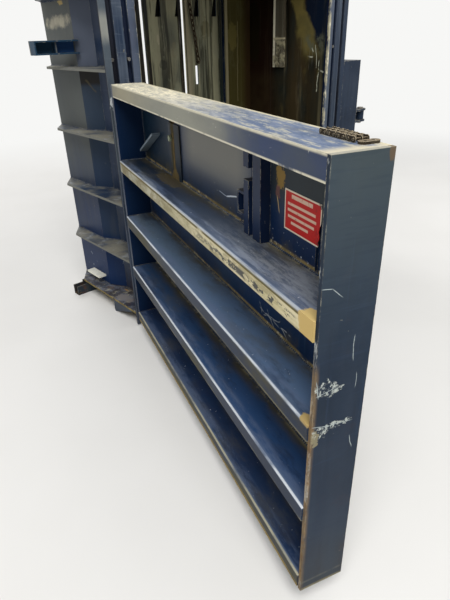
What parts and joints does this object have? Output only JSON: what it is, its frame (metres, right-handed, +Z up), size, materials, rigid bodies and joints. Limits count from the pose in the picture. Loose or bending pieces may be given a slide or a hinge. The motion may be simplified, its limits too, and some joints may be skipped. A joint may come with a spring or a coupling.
{
  "type": "vertical recycling baler",
  "caption": "Used vertical recycling baler with its ribbed chamber door swung open, raised feed gate and platen, top cylinder and slotted back wall.",
  "frame": {"origin": "on the floor under the middle of the bale chamber", "axes": "+Z up, front (door side) towards -Y, +X to the right seen from the front"},
  "size_m": [3.0557, 2.61, 3.804],
  "materials": {
    "blue_paint": "satin, worn",
    "blue_worn": "satin, rubbed pale",
    "dark_steel": "oily, rough",
    "bright_steel": "worn",
    "grey_enamel": "satin",
    "motor_blue": "satin",
    "red_enamel": "gloss",
    "nylon": "matte",
    "green_button": "gloss",
    "black_button": "gloss",
    "red_button": "gloss",
    "cream_paint": "matte, worn"
  },
  "bodies": {
    "frame": {"base_plate": "blue_paint", "front_foot": "blue_paint", "rear_foot": "blue_paint", "center_sill": "blue_paint", "side_walls": "blue_paint", "rear_post_left": "blue_worn", "rear_post_right": "blue_worn", "side_ribs": "blue_paint", "post_left": "blue_paint", "post_right": "blue_paint", "back_wall": "dark_steel", "back_strips": "dark_steel", "back_ribs": "blue_paint", "pocket_cover": "blue_paint", "wall_rails": "dark_steel", "front_cover": "blue_paint", "head_beams": "blue_paint", "cylinder_plate": "blue_paint", "cylinder_barrel": "grey_enamel", "cylinder_gland": "dark_steel", "cylinder_cap": "dark_steel", "oil_tank": "grey_enamel", "pump_motor": "motor_blue", "valve_block": "bright_steel", "oil_pipes": "bright_steel", "keeper_box": "blue_paint", "latch_ears": "blue_paint", "latch_pin": "bright_steel", "side_lugs": "blue_paint", "anchor_tab": "cream_paint", "hinge_leaves": "blue_paint", "hinge_pins": "bright_steel", "post_bolts": "bright_steel", "hanging_chain": "dark_steel", "chain_eyes": "dark_steel", "control_box": "grey_enamel", "tray_shaft": "bright_steel"},
    "door": {"door_skin": "blue_paint", "door_top": "blue_worn", "door_shelves": "blue_paint", "door_end": "blue_paint", "door_stile": "blue_paint", "door_knuckles": "blue_paint", "door_guide": "blue_paint", "door_brackets": "blue_paint", "door_chain": "dark_steel"},
    "gate": {"gate_sheet": "blue_paint", "gate_frame": "blue_paint", "gate_shoes": "nylon"},
    "ram": {"platen": "dark_steel", "platen_shoes": "nylon", "ram_rod": "bright_steel"},
    "latch": {"latch_arm": "blue_paint"},
    "clamp": {"clamp_screw": "bright_steel"},
    "wheel": {"hand_wheel": "red_enamel"},
    "tray": {"ejector_tray": "dark_steel"},
    "lid": {"control_lid": "grey_enamel"},
    "raise_push": {"raise_button": "green_button"},
    "lower_push": {"lower_button": "black_button"},
    "stop_push": {"stop_button": "red_button"}
  },
  "joints": [
    {"name": "door_swing", "type": "hinge", "parent": "frame", "child": "door", "pos_m": [-0.828, -0.4254, 0.7], "axis": [0, 0, 1], "range_deg": [-30, 107.86]},
    {"name": "gate_slide", "type": "slide", "parent": "frame", "child": "gate", "axis": [0, 0, 1], "range_m": [-0.691, 0]},
    {"name": "ram_slide", "type": "slide", "parent": "frame", "child": "ram", "axis": [0, 0, 1], "range_m": [-1.219, 0]},
    {"name": "latch_swing", "type": "hinge", "parent": "frame", "child": "latch", "pos_m": [1.215, -0.341, 0.955], "axis": [0, 0, 1], "range_deg": [-188, 0]},
    {"name": "wheel_spin", "type": "hinge", "parent": "latch", "child": "wheel", "pos_m": [1.45652, -0.01168, 0.955], "axis": [0.1392, -0.9903, 0], "range_deg": [0, 1147.5]},
    {"name": "clamp_slide", "type": "slide", "parent": "latch", "child": "clamp", "axis": [0.1392, -0.9903, 0], "range_m": [0, 0.02551]},
    {"name": "tray_tip", "type": "hinge", "parent": "frame", "child": "tray", "pos_m": [0, -0.339, 0.106], "axis": [1, 0, 0], "range_deg": [0, 55]},
    {"name": "lid_swing", "type": "hinge", "parent": "frame", "child": "lid", "pos_m": [1.104, -0.157, 1.73], "axis": [0, 0, 1], "range_deg": [-110, 0]},
    {"name": "raise_press", "type": "slide", "parent": "lid", "child": "raise_push", "axis": [-1, 0, 0], "range_m": [0, 0.005], "stiffness_N_per_m": 900},
    {"name": "lower_press", "type": "slide", "parent": "lid", "child": "lower_push", "axis": [-1, 0, 0], "range_m": [0, 0.005], "stiffness_N_per_m": 900},
    {"name": "stop_press", "type": "slide", "parent": "lid", "child": "stop_push", "axis": [-1, 0, 0], "range_m": [0, 0.005], "stiffness_N_per_m": 900}
  ],
  "couplings": [
    {"joint": "clamp_slide", "follows": "wheel_spin", "m_per_rad": 0.0012732}
  ]
}
